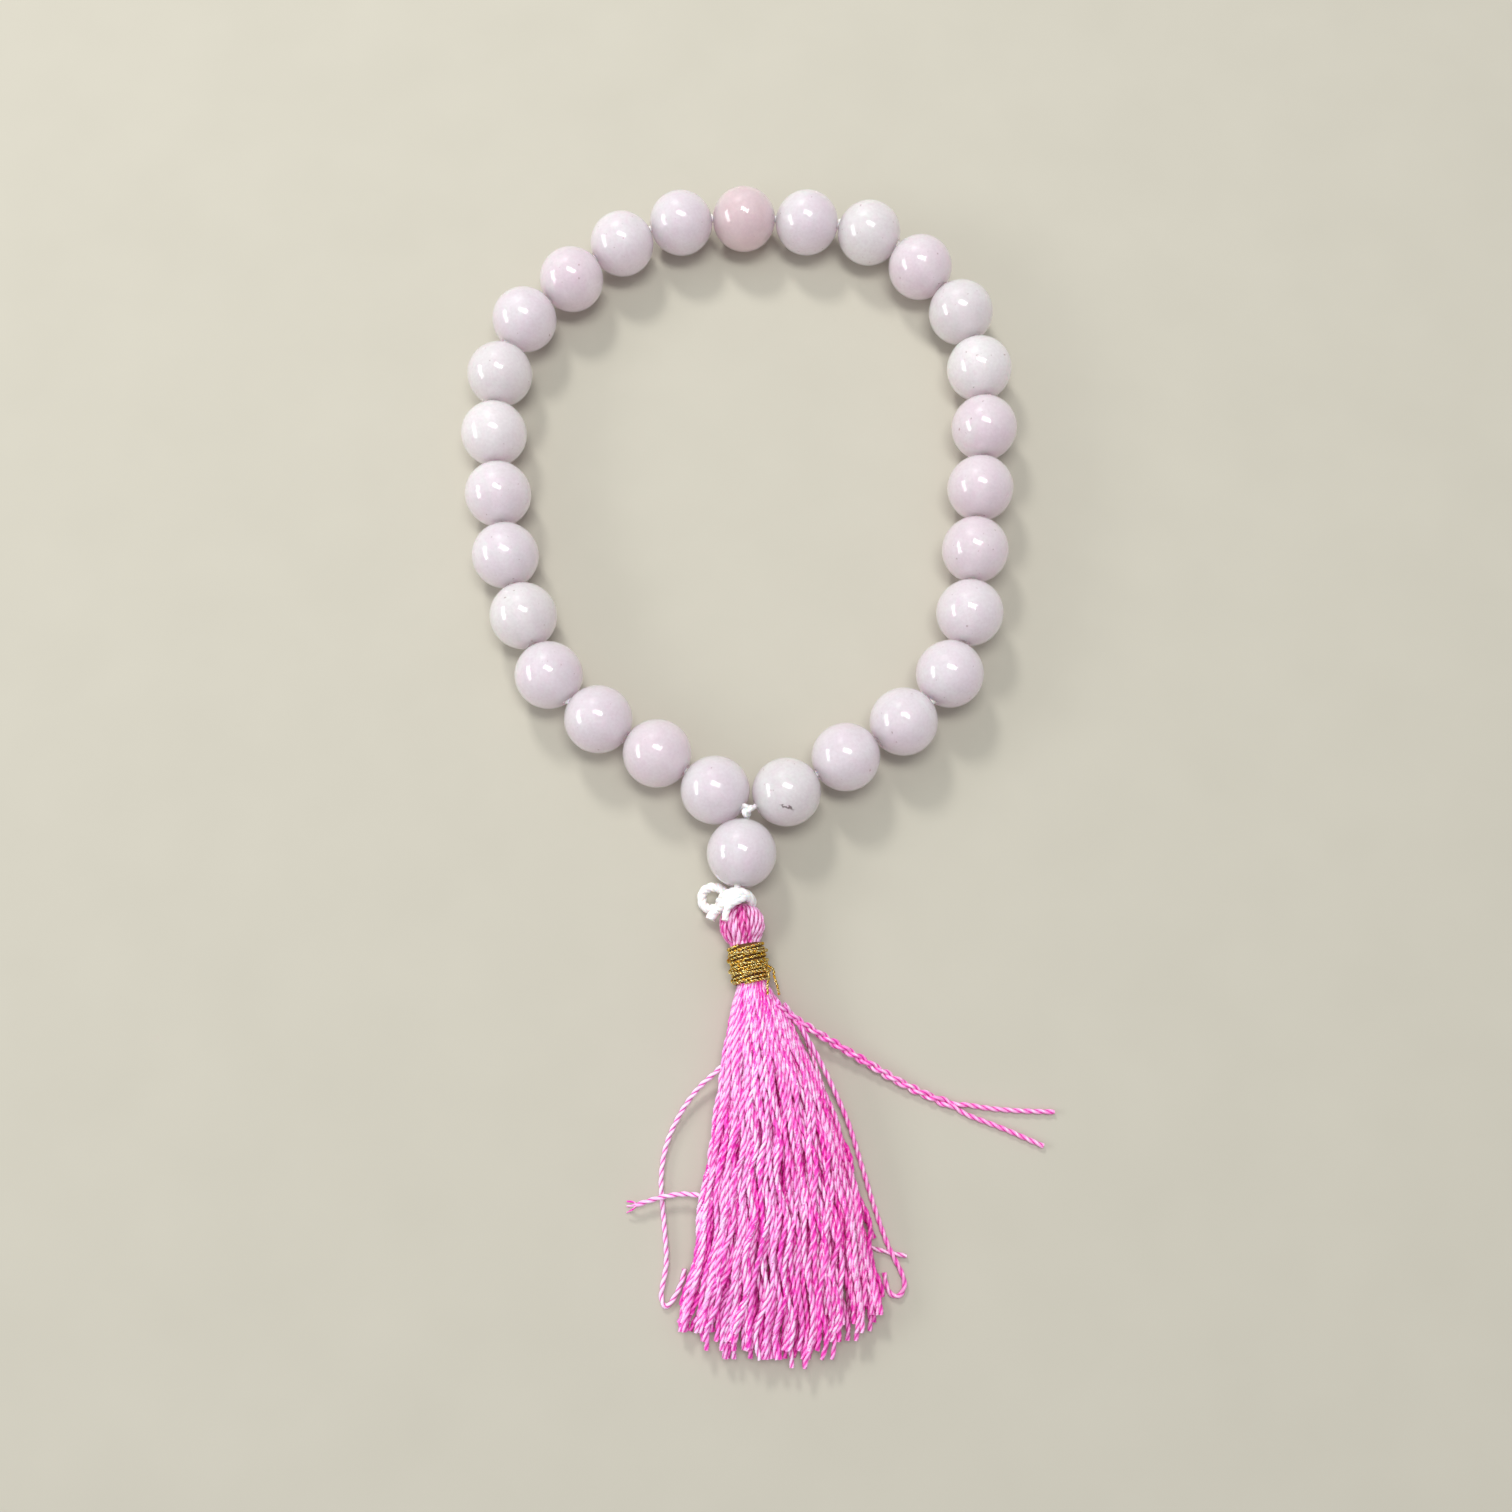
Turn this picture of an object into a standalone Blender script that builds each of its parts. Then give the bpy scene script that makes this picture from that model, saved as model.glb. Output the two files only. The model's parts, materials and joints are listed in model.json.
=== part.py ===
"""A rose quartz mala: 27 counting beads and a guru bead on one knotted cord, with a silk tassel.

The mala lies on a surface at z = 0, with +Y from the tassel towards the top of the loop, +X to the right and
+Z up. The origin is the middle of its bounding box, at the bottom. Everything is in metres.
"""

import math

import bmesh
import bpy
from mathutils import Matrix, Vector

MM = 0.001

# Driving dimensions
BEAD_DIAMETER = 7.9 * MM
BEAD_PITCH = 8.1 * MM
BEAD_BORE = 1.6 * MM
GURU_BORE = 2.2 * MM
CORD_DIAMETER = 0.9 * MM
THREAD_DIAMETER = 0.65 * MM
GOLD_THREAD_DIAMETER = 0.4 * MM
GAP = 0.3 * MM

BEADS_PER_SIDE = 13
BEAD_SEGMENTS = 16
BEAD_BANDS = 6

BEAD_RADIUS = BEAD_DIAMETER / 2
BEAD_HEIGHT = BEAD_RADIUS
MOUTH = math.sqrt(BEAD_RADIUS**2 - (BEAD_BORE / 2) ** 2)

# The loop's route, as x, y in millimetres, from the top bead down each side to the last bead
RIGHT_ROUTE = [(0.5, 66.4), (8.4, 65.9), (16.1, 64.6), (22.4, 60.0), (27.7, 53.5), (29.9, 45.6),
               (30.3, 37.5), (28.6, 21.2), (27.7, 13.2), (25.0, 5.3), (19.1, -0.8), (12.1, -5.1),
               (5.3, -9.2), (3.7, -10.1)]
LEFT_ROUTE = [(0.5, 66.4), (-7.3, 65.9), (-14.7, 63.1), (-27.1, 52.1), (-29.9, 44.6), (-30.3, 36.1),
              (-28.3, 20.5), (-25.9, 12.9), (-22.6, 5.3), (-16.7, -0.1), (-9.5, -4.4), (-3.0, -8.6),
              (-1.6, -9.5)]
STRAND_KNOT = Vector((0.95, -11.35, 3.95)) * MM
GURU_CENTRE = Vector((0.4, -16.2, 3.95)) * MM
TIE_KNOT = Vector((-0.05, -21.2, 3.0)) * MM

# The tassel's axis leans to the right as it leaves the guru bead
HEAD_TOP = Vector((0.05, -22.2, 2.65)) * MM
TASSEL_LEAN = math.radians(10.0)
TASSEL_AXIS = Vector((math.sin(TASSEL_LEAN), -math.cos(TASSEL_LEAN), 0.0))
HEAD_RADIUS = 2.6 * MM
HEAD_LENGTH = 4.3 * MM
NECK_RADIUS = 1.75 * MM
WRAP_INNER_RADIUS = 2.0 * MM
WRAP_OUTER_RADIUS = 2.35 * MM
WRAP_LENGTH = 4.7 * MM

# The turn of the tie cord that carries the tassel, inside the fold of its head
HANGER_TURN = 0.85 * MM
HANGER_DEPTH = 2.0 * MM
HANGER_ARM = 0.75 * MM

# The skirt's sections, in millimetres: y, left x, right x, bottom z, top z
SKIRT_SECTIONS = [(-31.8, 0.9, 2.7, 1.7, 3.5), (-32.7, -0.1, 4.1, 0.7, 4.4), (-37.5, -1.3, 6.9, 0.05, 4.7),
                  (-43.1, -1.8, 9.4, 0.0, 4.8), (-48.4, -2.7, 11.1, 0.0, 4.8),
                  (-58.6, -3.6, 13.9, 0.0, 4.4), (-63.8, -5.0, 15.3, 0.0, 4.0),
                  (-67.4, -5.5, 15.9, 0.0, 3.4), (-70.4, -2.2, 9.3, 0.0, 2.4)]
SKIRT_SIDES = 20
SKIRT_SQUARENESS = 2.5

# Routes of the free ends, as x, y, z in millimetres
BOW_ROUTE = [(-1.45, -20.7, 2.3), (-2.3, -20.0, 1.9), (-3.3, -19.9, 1.5), (-4.15, -20.5, 1.3),
             (-4.2, -21.6, 1.3), (-3.6, -22.3, 1.4), (-2.9, -22.3, 1.6)]
LEFT_TAIL_ROUTE = [(-2.05, -22.0, 3.7), (-2.45, -22.7, 3.9), (-2.95, -23.4, 4.3), (-3.4, -24.2, 4.4)]
RIGHT_TAIL_ROUTE = [(-1.15, -21.9, 4.6), (-1.35, -22.7, 5.3), (-1.45, -23.5, 5.6), (-1.5, -24.3, 5.8)]
GOLD_TAIL_ROUTES = {
    "gold_tail_long": [(3.55, -29.0, 3.2), (4.15, -30.0, 4.0), (4.45, -31.1, 4.5), (4.65, -32.4, 4.8)],
    "gold_tail_short": [(3.35, -29.6, 4.1), (3.45, -30.4, 4.6), (3.35, -31.2, 5.0), (3.35, -32.0, 5.1)],
}
STRAY_ROUTES = {
    "stray_pair_upper": [
        (6.7, -34.4, 2.3), (8.3, -35.4, 2.0), (10.8, -36.9, 1.6), (14.7, -39.1, 1.1), (18.7, -41.4, 0.7),
        (22.6, -43.2, 0.45), (26.5, -44.4, 0.4), (30.5, -44.9, 0.4), (35.6, -45.1, 0.4)],
    "stray_pair_lower": [
        (6.2, -35.4, 2.3), (7.9, -36.4, 2.0), (10.4, -37.9, 1.6), (14.2, -40.1, 1.1), (18.2, -42.4, 0.7),
        (22.2, -44.2, 0.45), (26.2, -45.6, 0.4), (30.0, -47.0, 0.4), (34.2, -48.8, 0.4)],
    "stray_left_bow": [
        (-2.2, -40.5, 1.8), (-4.5, -42.6, 1.2), (-6.5, -45.4, 0.7), (-8.0, -48.8, 0.45),
        (-8.5, -52.6, 0.4), (-8.1, -57.1, 0.4), (-7.8, -61.1, 0.4), (-8.3, -64.6, 0.4), (-7.7, -65.7, 0.4),
        (-6.7, -64.5, 0.4), (-6.0, -62.9, 0.4), (-5.8, -61.8, 0.4)],
    "stray_left_cross": [
        (-12.4, -55.4, 1.3), (-10.3, -54.8, 1.3), (-8.2, -54.2, 1.4), (-6.1, -53.9, 1.3), (-4.3, -54.0, 1.2)],
    "stray_right_hook": [
        (8.5, -37.9, 2.3), (9.2, -39.2, 2.1), (10.7, -42.5, 1.6), (12.4, -46.4, 1.1), (13.8, -50.9, 0.7),
        (15.2, -55.5, 0.45), (16.6, -59.4, 0.4), (17.9, -62.0, 0.4), (18.3, -63.4, 0.4), (17.8, -64.5, 0.4),
        (16.9, -64.5, 0.4), (16.3, -63.5, 0.4), (16.1, -62.2, 0.4)],
}

# Colour, roughness and metallic value of each finish
FINISHES = {
    "rose_quartz_pale": ((0.80, 0.72, 0.78), 0.12, 0.0),
    "rose_quartz_pink": ((0.80, 0.62, 0.68), 0.12, 0.0),
    "rose_quartz_milky": ((0.80, 0.79, 0.78), 0.12, 0.0),
    "rose_quartz_dusky": ((0.68, 0.50, 0.52), 0.12, 0.0),
    "white_cord": ((0.90, 0.89, 0.87), 0.70, 0.0),
    "pink_silk": ((0.85, 0.25, 0.55), 0.45, 0.0),
    "gold_thread": ((0.75, 0.55, 0.15), 0.35, 1.0),
}
DUSKY_BEADS = {"bead_14"}
PINK_BEADS = {"bead_02", "bead_11", "bead_17", "bead_20", "bead_21", "bead_22"}
MILKY_BEADS = {"bead_05", "bead_09", "bead_16", "bead_18", "bead_27"}


def clear_scene():
    for thing in list(bpy.data.objects):
        bpy.data.objects.remove(thing, do_unlink=True)


def finish(name):
    """The named finish as a Principled material, made on its first use."""
    if name in bpy.data.materials:
        return bpy.data.materials[name]
    colour, roughness, metallic = FINISHES[name]
    material = bpy.data.materials.new(name)
    material.use_nodes = True
    shader = material.node_tree.nodes["Principled BSDF"]
    shader.inputs["Base Color"].default_value = (*colour, 1.0)
    shader.inputs["Roughness"].default_value = roughness
    shader.inputs["Metallic"].default_value = metallic
    return material


def add_object(name, data, finish_name, parent=None):
    """A linked object with its own finish, kept on the object so that pieces can share a mesh."""
    thing = bpy.data.objects.new(name, data)
    bpy.context.collection.objects.link(thing)
    if not data.materials:
        data.materials.append(None)
    thing.material_slots[0].link = "OBJECT"
    thing.material_slots[0].material = finish(finish_name)
    thing.parent = parent
    return thing


def mesh_from(bm, name, sharp_degrees=40.0):
    """A bmesh as a smooth-shaded mesh with outward faces and doubles merged."""
    bmesh.ops.remove_doubles(bm, verts=bm.verts, dist=0.001 * MM)
    bmesh.ops.recalc_face_normals(bm, faces=bm.faces)
    mesh = bpy.data.meshes.new(name)
    bm.to_mesh(mesh)
    bm.free()
    mesh.shade_smooth()
    mesh.set_sharp_from_angle(angle=math.radians(sharp_degrees))
    return mesh


def turned_mesh(name, profile, sides, closed=False):
    """A profile of (radius, height) points spun about local Z. A closed profile makes a ring."""
    bm = bmesh.new()
    verts = [bm.verts.new((radius, 0.0, height)) for radius, height in profile]
    edges = [bm.edges.new(pair) for pair in zip(verts, verts[1:])]
    if closed:
        edges.append(bm.edges.new((verts[-1], verts[0])))
    bmesh.ops.spin(bm, geom=verts + edges, cent=(0, 0, 0), axis=(0, 0, 1), angle=2 * math.pi, steps=sides)
    return mesh_from(bm, name)


def bead_mesh(name, bore):
    """A ball drilled along local Z."""
    start = math.asin(bore / 2 / BEAD_RADIUS)
    sweep = math.pi - 2 * start
    angles = [start + sweep * band / BEAD_BANDS for band in range(BEAD_BANDS + 1)]
    profile = [(BEAD_RADIUS * math.sin(a), BEAD_RADIUS * math.cos(a)) for a in angles]
    return turned_mesh(name, profile, BEAD_SEGMENTS, closed=True)


def ellipsoid_mesh(name, radii):
    bm = bmesh.new()
    bmesh.ops.create_uvsphere(bm, u_segments=12, v_segments=8, radius=1.0)
    bmesh.ops.scale(bm, vec=radii, verts=bm.verts)
    return mesh_from(bm, name)


def frame_along(axis):
    """A rotation that carries local Z onto the axis and keeps local X upright where it can."""
    z = axis.normalized()
    x = Vector((0, 0, 1))
    y = z.cross(x).normalized()
    return Matrix((x, y, z)).transposed()


def place(thing, location, axis=None):
    thing.location = location
    if axis is not None:
        thing.rotation_euler = frame_along(axis).to_euler()
    return thing


def smooth_curve(points, steps=24):
    """A Catmull-Rom curve through the points, densely sampled."""
    ends = [2 * points[0] - points[1], *points, 2 * points[-1] - points[-2]]
    line = []
    for before, here, there, after in zip(ends, ends[1:], ends[2:], ends[3:]):
        for step in range(steps):
            t = step / steps
            line.append(0.5 * (2 * here + (there - before) * t
                               + (2 * before - 5 * here + 4 * there - after) * t**2
                               + (3 * here - before - 3 * there + after) * t**3))
    return [*line, points[-1]]


def step_along(line, chord, count):
    """Points on the line, each one chord from the last, carried straight on past its end."""
    found = [line[0]]
    index = 0
    for _ in range(count):
        here = found[-1]
        while index < len(line) - 1 and (line[index + 1] - here).length < chord:
            index += 1
        if index == len(line) - 1:
            found.append(here + (line[-1] - line[-2]).normalized() * chord)
            continue
        near, far = 0.0, 1.0
        for _ in range(30):
            middle = (near + far) / 2
            if (line[index].lerp(line[index + 1], middle) - here).length < chord:
                near = middle
            else:
                far = middle
        found.append(line[index].lerp(line[index + 1], near))
    return found


def evenly(line, spacing):
    """The line's points again at an even spacing close to the one asked for, with both its ends."""
    length = sum((b - a).length for a, b in zip(line, line[1:]))
    count = max(2, round(length / spacing))
    return resample(line, [length * i / count for i in range(count + 1)])


def resample(line, distances):
    points = []
    walked = 0.0
    index = 0
    for distance in distances:
        while index < len(line) - 2 and walked + (line[index + 1] - line[index]).length < distance:
            walked += (line[index + 1] - line[index]).length
            index += 1
        span = (line[index + 1] - line[index]).length
        points.append(line[index].lerp(line[index + 1], min(1.0, (distance - walked) / span)))
    return points


def cord(name, points, diameter, finish_name, parent=None, resolution=2):
    """A round cord with filled ends, as a poly curve through the points."""
    curve = bpy.data.curves.new(name, "CURVE")
    curve.dimensions = "3D"
    curve.bevel_depth = diameter / 2
    curve.bevel_resolution = resolution
    curve.use_fill_caps = True
    curve.render_resolution_u = 0
    spline = curve.splines.new("POLY")
    spline.points.add(len(points) - 1)
    for spline_point, point in zip(spline.points, points):
        spline_point.co = (*point, 1.0)
    return add_object(name, curve, finish_name, parent)


def millimetres(route, z=None):
    return [Vector((p[0], p[1], p[2] if z is None else z)) * MM for p in route]


def empty_at(name, location, parent=None):
    """A joint's empty: an unturned frame at the joint's own place."""
    joint = bpy.data.objects.new(name, None)
    joint.empty_display_size = 3 * MM
    bpy.context.collection.objects.link(joint)
    joint.parent = parent
    joint.location = location if parent is None else location - world_place(parent)
    return joint


def world_place(thing):
    place_now = Vector(thing.location)
    while thing.parent:
        thing = thing.parent
        place_now += thing.location
    return place_now


# ---- The strand: bead centres, axes and the cord's turns between them ----

def strand_layout():
    """Centres from the last left bead over the top to the last right one, their axes, and the gaps' middles."""
    height = BEAD_HEIGHT / MM
    sides = []
    for route in (LEFT_ROUTE, RIGHT_ROUTE):
        line = smooth_curve(millimetres(route, height))
        sides.append(step_along(line, BEAD_PITCH, BEADS_PER_SIDE))
    left, right = sides
    centres = left[:0:-1] + right
    path = [STRAND_KNOT, *centres, STRAND_KNOT]
    axes = []
    for before, here, after in zip(path, path[1:], path[2:]):
        axes.append(((here - before).normalized() + (after - here).normalized()).normalized())
    gaps = []
    for i in range(len(centres) - 1):
        leaving = centres[i] + axes[i] * MOUTH
        entering = centres[i + 1] - axes[i + 1] * MOUTH
        gaps.append((leaving + entering) / 2)
    return centres, axes, gaps


def bead_name(number):
    return f"bead_{number:02d}"


def bead_finish(name):
    if name in DUSKY_BEADS:
        return "rose_quartz_dusky"
    if name in PINK_BEADS:
        return "rose_quartz_pink"
    return "rose_quartz_milky" if name in MILKY_BEADS else "rose_quartz_pale"


# The strand folds at four lines across the loop, each through a gap on the left and one on the right.
# Counted from the top bead, they follow the third, sixth, ninth and eleventh bead of each side.
FOLDS = {"upper": 3, "middle": 6, "lower": 9, "bottom": 11}


def cord_run(centres, axes, gaps, first, last):
    """The cord through beads first to last, straight in each bore, with a short end in the gap at each side."""
    inside = MOUTH - 0.3 * MM
    points = []
    if first > 0:
        toward = (centres[first] - axes[first] * inside - gaps[first - 1]).normalized()
        points.append(gaps[first - 1] + toward * GAP / 2)
    for i in range(first, last + 1):
        points += [centres[i] + axes[i] * inside * share for share in (-1.0, -0.33, 0.33, 1.0)]
        if i < last:
            points.append(gaps[i])
    if last < len(centres) - 1:
        toward = (centres[last] + axes[last] * inside - gaps[last]).normalized()
        points.append(gaps[last] + toward * GAP / 2)
    return points


def fold_empties(gaps):
    """One empty for each fold, at the middle of its line, each the parent of the next fold's empty."""
    empties = {"top": None}
    parent = None
    for part, count in FOLDS.items():
        left_gap = gaps[BEADS_PER_SIDE - count - 1]
        right_gap = gaps[BEADS_PER_SIDE + count]
        parent = empty_at(f"fold_{part}", (left_gap + right_gap) / 2, parent)
        empties[part] = parent
    return empties


def part_of_bead(index):
    """The stretch of the strand that a bead belongs to, from its count away from the top bead."""
    count = abs(index - BEADS_PER_SIDE)
    found = "top"
    for part, first in FOLDS.items():
        if count > first:
            found = part
    return found


def build_strand():
    centres, axes, gaps = strand_layout()
    empties = fold_empties(gaps)
    shared = bead_mesh("counting_bead", BEAD_BORE)
    for i, (centre, axis) in enumerate(zip(centres, axes)):
        parent = empties[part_of_bead(i)]
        name = bead_name(i + 1)
        bead = add_object(name, shared, bead_finish(name), parent)
        place(bead, centre - (world_place(parent) if parent else Vector()), axis)
    runs = {}
    for i in range(len(centres)):
        part = part_of_bead(i)
        side = "" if part == "top" else ("_left" if i < BEADS_PER_SIDE else "_right")
        runs.setdefault((part, side), []).append(i)
    for (part, side), indices in runs.items():
        points = cord_run(centres, axes, gaps, indices[0], indices[-1])
        if part == "bottom":
            extend_to_knot(points, at_start=side == "_left")
        offset = world_place(empties[part]) if empties[part] else Vector()
        points = [p - offset for p in points]
        cord(f"strand_cord_{part}{side}", points, CORD_DIAMETER, "white_cord", empties[part])
    knot = ellipsoid_mesh("strand_knot", (0.42 * MM, 0.42 * MM, 0.9 * MM))
    place(add_object("strand_knot", knot, "white_cord", empties["bottom"]),
          STRAND_KNOT - world_place(empties["bottom"]))
    return empties


def extend_to_knot(points, at_start):
    """Carries a bottom run of cord out of its last bead, to just short of the knot."""
    end = points[0] if at_start else points[-1]
    toward = (STRAND_KNOT - end).normalized()
    clear = 0.42 * MM + GAP
    stop = STRAND_KNOT - toward * clear
    if (stop - end).dot(toward) > 0.2 * MM:
        points.insert(0 if at_start else len(points), stop)


# ---- The guru bead, its cord and the tie ----

def build_guru(parent):
    guru_joint = empty_at("guru_joint", STRAND_KNOT, parent)
    origin = world_place(guru_joint)
    axis = (GURU_CENTRE - STRAND_KNOT).normalized()
    bead = add_object("guru_bead", bead_mesh("guru_bead", GURU_BORE), "rose_quartz_pale", guru_joint)
    place(bead, GURU_CENTRE - origin, axis)
    half = BEAD_RADIUS - 0.1 * MM
    points = [GURU_CENTRE + axis * half * share - origin for share in (-1.0, -0.33, 0.33, 1.0)]
    cord("guru_cord", points, 1.5 * MM, "white_cord", guru_joint, resolution=3)
    bow = evenly(smooth_curve(millimetres(BOW_ROUTE)), 1.0 * MM)
    cord("tie_bow", [p - origin for p in bow], CORD_DIAMETER, "white_cord", guru_joint)
    return guru_joint


# ---- The tassel ----

def along_tassel(distance):
    return HEAD_TOP + TASSEL_AXIS * distance


def hanger_shape(name, radius, arm):
    """A U of round section, open towards local +Y, in the plane through the tassel's axis and the vertical."""
    bm = bmesh.new()
    turn = HANGER_TURN
    bmesh.ops.create_circle(bm, cap_ends=True, radius=radius, segments=10,
                            matrix=Matrix.Translation((turn, 0, 0)) @ Matrix.Rotation(math.pi / 2, 4, "X"))
    spun = bmesh.ops.spin(bm, geom=bm.faces[:], cent=(0, 0, 0), axis=(0, 0, -1), angle=math.pi, steps=8)
    last = [f for f in spun["geom_last"] if isinstance(f, bmesh.types.BMFace)]
    first = [f for f in bm.faces if len(f.verts) == 10 and f not in last]
    for cap in last + first:
        moved = bmesh.ops.extrude_face_region(bm, geom=[cap])
        bmesh.ops.translate(bm, verts=[v for v in moved["geom"] if isinstance(v, bmesh.types.BMVert)],
                            vec=(0, arm, 0))
        bmesh.ops.delete(bm, geom=[cap], context="FACES_ONLY")
    return mesh_from(bm, name)


def build_tassel(parent):
    tie = empty_at("tie_joint", TIE_KNOT, parent)
    knot = add_object("tie_knot", ellipsoid_mesh("tie_knot", (1.15 * MM, 0.66 * MM, 0.95 * MM)), "white_cord", tie)
    place(knot, Vector())
    lean = TASSEL_AXIS.xy.angle_signed(Vector((0, -1)))
    hanger_place = along_tassel(HANGER_DEPTH - HANGER_TURN)

    hanger = add_object("tassel_hanger", hanger_shape("tassel_hanger", 0.4 * MM, HANGER_ARM), "white_cord", tie)
    hanger.location = hanger_place - TIE_KNOT
    hanger.rotation_euler = (0, 0, lean)

    head = add_object("tassel_head", head_mesh(), "pink_silk", tie)
    place(head, HEAD_TOP - TIE_KNOT, TASSEL_AXIS)
    channel = bpy.data.objects.new("hanger_channel", hanger_shape("hanger_channel", 0.7 * MM, 3 * MM))
    bpy.context.collection.objects.link(channel)
    channel.parent = tie
    channel.location = hanger.location
    channel.rotation_euler = (0, 0, lean)
    channel.hide_render = True
    channel.display_type = "WIRE"
    cut = head.modifiers.new("channel", "BOOLEAN")
    cut.operation = "DIFFERENCE"
    cut.object = channel

    for name, route in (("tie_tail_left", LEFT_TAIL_ROUTE), ("tie_tail_right", RIGHT_TAIL_ROUTE)):
        points = evenly(smooth_curve(millimetres(route)), 0.9 * MM)
        cord(name, [p - TIE_KNOT for p in points], 0.8 * MM, "white_cord", tie)

    wrap = add_object("gold_wrap", wrap_mesh(), "gold_thread", tie)
    place(wrap, along_tassel(HEAD_LENGTH) - TIE_KNOT, TASSEL_AXIS)
    for name, route in GOLD_TAIL_ROUTES.items():
        points = evenly(smooth_curve(millimetres(route)), 0.8 * MM)
        cord(name, [p - TIE_KNOT for p in points], GOLD_THREAD_DIAMETER, "gold_thread", tie)
    return tie


def head_mesh():
    """The folded threads: a rounded head that narrows to the neck inside the gold wrap."""
    shoulder = HEAD_LENGTH - 0.35 * MM
    crown = [(HEAD_RADIUS * math.sin(a), 2.3 * MM * (1 - math.cos(a)))
             for a in (math.radians(d) for d in (0, 25, 50, 75))]
    body = [(HEAD_RADIUS, 2.4 * MM), (HEAD_RADIUS * 0.93, 3.3 * MM), (NECK_RADIUS, shoulder)]
    end = HEAD_LENGTH + WRAP_LENGTH
    return turned_mesh("tassel_head", [*crown, *body, (NECK_RADIUS, end), (0.0, end)], 20)


def wrap_mesh():
    """The wound thread as one sleeve with a rounded edge at each end."""
    edge = 0.15 * MM
    start = 0.1 * MM
    profile = [(WRAP_INNER_RADIUS, start), (WRAP_OUTER_RADIUS - edge, start), (WRAP_OUTER_RADIUS, start + edge),
               (WRAP_OUTER_RADIUS, WRAP_LENGTH - edge), (WRAP_OUTER_RADIUS - edge, WRAP_LENGTH),
               (WRAP_INNER_RADIUS, WRAP_LENGTH)]
    return turned_mesh("gold_wrap", profile, 20, closed=True)


def skirt_mesh(offset):
    """The hanging threads as one flattened, flaring body, closed at both ends."""
    bm = bmesh.new()
    rings = []
    for y, left, right, low, high in SKIRT_SECTIONS:
        ring = []
        for side in range(SKIRT_SIDES):
            angle = 2 * math.pi * side / SKIRT_SIDES
            across = math.copysign(abs(math.cos(angle)) ** (2 / SKIRT_SQUARENESS), math.cos(angle))
            above = math.copysign(abs(math.sin(angle)) ** (2 / SKIRT_SQUARENESS), math.sin(angle))
            x = (left + right) / 2 + (right - left) / 2 * across
            z = (low + high) / 2 + (high - low) / 2 * above
            ring.append(bm.verts.new(Vector((x, y, z)) * MM - offset))
        rings.append(ring)
    for near, far in zip(rings, rings[1:]):
        for side in range(SKIRT_SIDES):
            after = (side + 1) % SKIRT_SIDES
            bm.faces.new((near[side], near[after], far[after], far[side]))
    bm.faces.new(rings[0])
    bm.faces.new(rings[-1])
    return mesh_from(bm, "tassel_skirt", sharp_degrees=50.0)


def build_skirt(parent):
    """The skirt sways at the end of the neck, and its stray threads go with it."""
    hinge = along_tassel(HEAD_LENGTH + WRAP_LENGTH + 0.1 * MM)
    joint = empty_at("skirt_joint", hinge, parent)
    origin = world_place(joint)
    add_object("tassel_skirt", skirt_mesh(origin), "pink_silk", joint)
    for name, route in STRAY_ROUTES.items():
        points = evenly(smooth_curve(millimetres(route)), 2.2 * THREAD_DIAMETER)
        cord(name, [p - origin for p in points], THREAD_DIAMETER, "pink_silk", joint)


clear_scene()
strand_empties = build_strand()
guru = build_guru(strand_empties["bottom"])
tassel = build_tassel(guru)
build_skirt(tassel)
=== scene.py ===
import json
import math
import random

import bmesh
import bpy
from mathutils import Matrix, Vector


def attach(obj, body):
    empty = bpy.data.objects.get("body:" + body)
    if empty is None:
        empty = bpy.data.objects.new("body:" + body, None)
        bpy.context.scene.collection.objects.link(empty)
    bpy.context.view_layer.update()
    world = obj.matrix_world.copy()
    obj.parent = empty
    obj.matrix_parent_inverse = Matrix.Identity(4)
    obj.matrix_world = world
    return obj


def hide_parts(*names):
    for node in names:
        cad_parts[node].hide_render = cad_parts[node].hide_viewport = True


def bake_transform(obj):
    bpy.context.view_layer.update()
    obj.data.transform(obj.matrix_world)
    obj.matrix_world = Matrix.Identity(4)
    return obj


# A rose quartz mala: 27 counting beads and a guru bead on one knotted white cord, with a silk tassel whose head is
# bound in gold thread. It lies on z = 0, with +Y from the tassel towards the top of the loop. Everything is in metres.
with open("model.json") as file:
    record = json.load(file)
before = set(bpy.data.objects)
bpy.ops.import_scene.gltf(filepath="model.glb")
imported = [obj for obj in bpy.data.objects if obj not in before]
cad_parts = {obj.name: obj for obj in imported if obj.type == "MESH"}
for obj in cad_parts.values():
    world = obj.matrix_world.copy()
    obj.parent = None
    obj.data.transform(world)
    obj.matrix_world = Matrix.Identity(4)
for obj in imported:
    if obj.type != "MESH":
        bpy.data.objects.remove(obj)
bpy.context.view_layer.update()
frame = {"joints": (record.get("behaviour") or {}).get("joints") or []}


# ---- The surface it lies on, the lights and the camera ----
# A plain pale matt board. A soft light hangs overhead and another stands low on the left, so each polished bead
# carries two small bright window shapes. A third, behind the loop's top, throws the shadows towards the tassel.

MM = 0.001


def linear(hex_colour):
    """An sRGB hex colour as linear red, green, blue and alpha."""
    channels = [int(hex_colour[i:i + 2], 16) / 255 for i in (1, 3, 5)]
    return (*[c / 12.92 if c <= 0.04045 else ((c + 0.055) / 1.055) ** 2.4 for c in channels], 1.0)


def node(tree, kind, inputs=None, **settings):
    """A new node. Its inputs map a socket's name or number to a value, or to the socket that feeds it."""
    made = tree.nodes.new(kind)
    for key, value in settings.items():
        setattr(made, key, value)
    for key, value in (inputs or {}).items():
        if isinstance(value, bpy.types.NodeSocket):
            tree.links.new(value, made.inputs[key])
        else:
            made.inputs[key].default_value = value
    return made


def finish(name, **sockets):
    """A material with its Principled shader's own sockets set, and its node tree and shader."""
    material = bpy.data.materials.new(name)
    material.use_nodes = True
    shader = material.node_tree.nodes["Principled BSDF"]
    for key, value in sockets.items():
        shader.inputs[key.replace("_", " ")].default_value = value
    return material, material.node_tree, shader


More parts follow.
